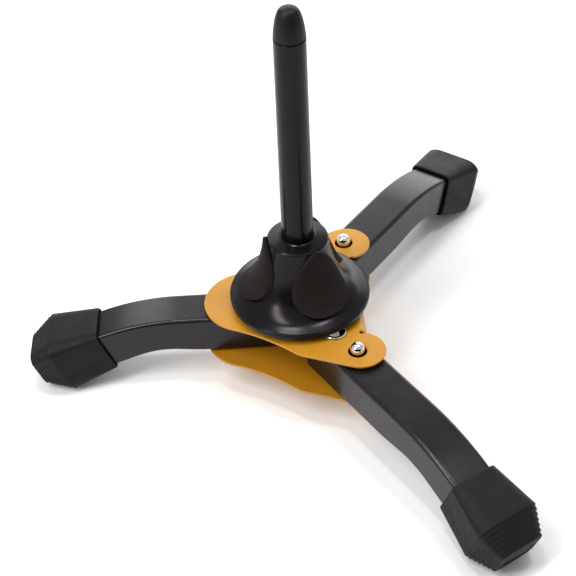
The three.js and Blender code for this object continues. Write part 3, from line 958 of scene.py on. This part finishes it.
def strip(line, width, thickness):
    """A flat spring of even thickness along a line of (x, z) points."""
    rings = []
    for i, (x, z) in enumerate(line):
        (x0, z0), (x1, z1) = line[max(i - 1, 0)], line[min(i + 1, len(line) - 1)]
        length = hypot(x1 - x0, z1 - z0)
        nx, nz = -(z1 - z0) / length * thickness / 2, (x1 - x0) / length * thickness / 2
        half = width / 2
        upper = [(x + nx, -half, z + nz), (x + nx, half, z + nz)]
        lower = [(x - nx, half, z - nz), (x - nx, -half, z - nz)]
        rings.append(upper + lower)
    return lofted(rings)


def hex_head(z0, z1, flats, chamfer):
    """A hexagon prism from z0 to z1 whose z0 corners are turned off."""
    corner = flats / 3 ** 0.5           # from the axis to a corner
    rings = []
    for z, most in ((z1, corner), (z0 + chamfer, corner), (z0 + chamfer / 2, corner - 0.35), (z0, flats / 2 - 0.1)):
        ring = []
        for k in range(48):
            a = radians(k * 7.5)
            side = (a + radians(30)) % radians(60) - radians(30)
            ring.append((min(flats / 2 / cos(side), most), a))
        rings.append([(r * cos(a), r * sin(a), z) for r, a in ring])
    return lofted(rings)


def centre_bolt(material):
    """Its head is under the bottom deck and its washer, and its shank runs up into the peg."""
    under = -DECK_STEP - SHEET - 2 * GAP - WASHER
    shank = rod(0, 0, BOLT_R, under - 0.5, 26)
    head = hex_head(under - 4, under, 10, 1.0)
    return piece("bolt", joined(head, shank), "stand", material, "steel", ["centre_bolt"])


def fixed_rivet(material):
    """A solid rivet with a low round head on each deck. It keeps the fixed leg from turning."""
    low = -DECK_STEP - SHEET - GAP
    head = [(0, 1.25), (2.2, 1.2), (4.0, 0.85), (4.8, 0.4), (5.0, 0.0), (BOLT_R, 0.0)]
    profile = [(r, GAP + z) for r, z in head] + [(r, low - z) for r, z in reversed(head)]
    points, faces = turned(profile, 48)
    points = [(x - FIXED_RIVET, y, z) for x, y, z in points]
    return piece("fixed_rivet", (points, faces), "stand", material, "steel", ["fixed_leg_rivet"])


def dress_frame_nodes(materials):
    """CAD nodes whose shape is already right only take a better material."""
    slots = {part["node"]: part["material_slot"] for part in frame["record"]["subparts"]}
    for name, node in frame["nodes"].items():
        node.data.materials.clear()
        node.data.materials.append(materials[slots[name]])


# ---- studio ----

CAMERA_AT = (-12.1, -565.8, 495.7)      # from the hub axis and the bracket's top face
CAMERA_DOWN = 40.83                     # degrees below the horizon
CAMERA_TURN = -0.63                     # degrees from straight towards +Y
CAMERA_ROLL = 2.73
LENS = 92.74
WORLD = 0.56                            # brightness all round
LOOK_AT = (0, 0, 0.05)                  # where the lights aim, in metres
LIGHTS = {                              # place and size in metres, and the brightness of the face
    "top": ((-0.13, 0.08, 1.3), (0.09, 0.28), 40),
    "top_right": ((0.36, -0.03, 1.25), (0.1, 0.25), 40),
    "strip": ((-0.62, -0.42, 0.9), (0.2, 0.95), 14),
    "backdrop": ((0.35, 1.5, 0.52), (1.9, 1.03), 2.3),
    "back_left": ((-0.4, 1.0, 0.83), (0.42, 0.4), 2.9),
}
FLOOR = [(-6, -6, 0), (6, -6, 0), (6, 6, 0), (-6, 6, 0)]
CARD = [(-1.3, -1.0, 0.0), (1.3, -1.0, 0.0), (1.3, -1.15, 0.8), (-1.3, -1.15, 0.8)]


def camera():
    """The camera at the photograph's viewing angle."""
    data = bpy.data.cameras.new("camera")
    data.lens, data.sensor_width = LENS, 36
    data.clip_start, data.clip_end = 0.05, 50
    obj = bpy.data.objects.new("camera", data)
    bpy.context.scene.collection.objects.link(obj)
    turn = Matrix.Rotation(radians(CAMERA_TURN), 4, "Z") @ Matrix.Rotation(radians(90 - CAMERA_DOWN), 4, "X")
    roll = Matrix.Rotation(radians(-CAMERA_ROLL), 4, "Z")
    obj.matrix_world = Matrix.Translation(to_row(CAMERA_AT)) @ turn @ roll
    bpy.context.scene.camera = obj


def area_light(name, at, size, radiance):
    """A soft box aimed at the stand. Its power follows from how bright its face is."""
    data = bpy.data.lights.new(name, "AREA")
    data.shape, data.size, data.size_y = "RECTANGLE", *size
    data.energy = radiance * pi * size[0] * size[1]
    obj = bpy.data.objects.new(name, data)
    bpy.context.scene.collection.objects.link(obj)
    obj.location = at
    obj.rotation_euler = (Vector(LOOK_AT) - Vector(at)).to_track_quat("-Z", "Y").to_euler()


def flat_sheet(name, corners, grey, blotch_mm, roughness):
    """One flat face of the studio, in metres, with an even grey and blotches of roughness."""
    mesh = bpy.data.meshes.new(name)
    mesh.from_pydata(corners, [], [(0, 1, 2, 3)])
    sheet = as_object(name, mesh)
    surface = Surface(name, (grey, grey, grey), roughness[0], specular=0.1)
    surface.vary_roughness(blotch_mm, *roughness)
    sheet.data.materials.append(surface.material)
    return sheet


def studio():
    """A pale floor, soft lights, and a black card in front that keeps the blacks there deep."""
    scene = bpy.context.scene
    scene.view_settings.view_transform = "Standard"
    world = bpy.data.worlds.new("studio")
    scene.world = world
    world.use_nodes = True
    background = world.node_tree.nodes["Background"]
    background.inputs["Color"].default_value = (1, 1, 1, 1)
    background.inputs["Strength"].default_value = WORLD
    floor = flat_sheet("floor", FLOOR, 0.93, 200, (0.82, 0.9))
    for name, (at, size, radiance) in LIGHTS.items():
        area_light(name, at, size, radiance)
    card = flat_sheet("card", CARD, 0.01, 60, (0.85, 0.95))
    card.visible_camera = False         # it only darkens reflections, and must not show in views from behind


# ---- assembly ----

def main():
    """Makes every piece, then the studio and the camera."""
    materials = {
        "gold_paint": gold_paint(),
        "black_coat": black_coat(),
        "black_plastic": black_plastic(),
        "rest_rubber": rest_rubber(),
        "foot_rubber": foot_rubber(),
        "tip_rubber": tip_rubber(),
        "bright_plate": bright_plate(),
        "steel": plain_steel(),
        "nylon": nylon(),
    }
    dress_frame_nodes(materials)
    bracket(materials["gold_paint"])
    hub(materials["black_plastic"])
    peg(materials["black_plastic"])
    peg_tip(materials["tip_rubber"])
    for i, azimuth in enumerate(REST_AZIMUTHS):
        bell_rest(i + 1, azimuth, materials["rest_rubber"])
    low, high = TUBE_TOP - TUBE_HEIGHT - 3, TUBE_TOP + 3
    fixed_holes = [rod(x, 0, BOLT_R + GAP, low, high) for x in (0, FIXED_RIVET)]
    swing_holes = [rod(0, 0, PIVOT_HOLE_R, low, high),
                   rod(LOCK_AT, LOCK_SIDE, DOME_R + 0.5, TUBE_TOP - 5, high)]
    leg_tube("fixed", FIXED_INNER, fixed_holes, materials["black_coat"])
    for name in ("front", "back"):
        leg_tube(name, -BACK_OF_PIVOT, swing_holes, materials["black_coat"])
        pivot_rivet(name, materials["bright_plate"])
        lock_spring(name, materials["bright_plate"])
        lock_button(name, materials["bright_plate"])
    for name in LEGS:
        foot(name, materials["foot_rubber"])
    centre_bolt(materials["steel"])
    fixed_rivet(materials["steel"])
    studio()
    camera()


main()
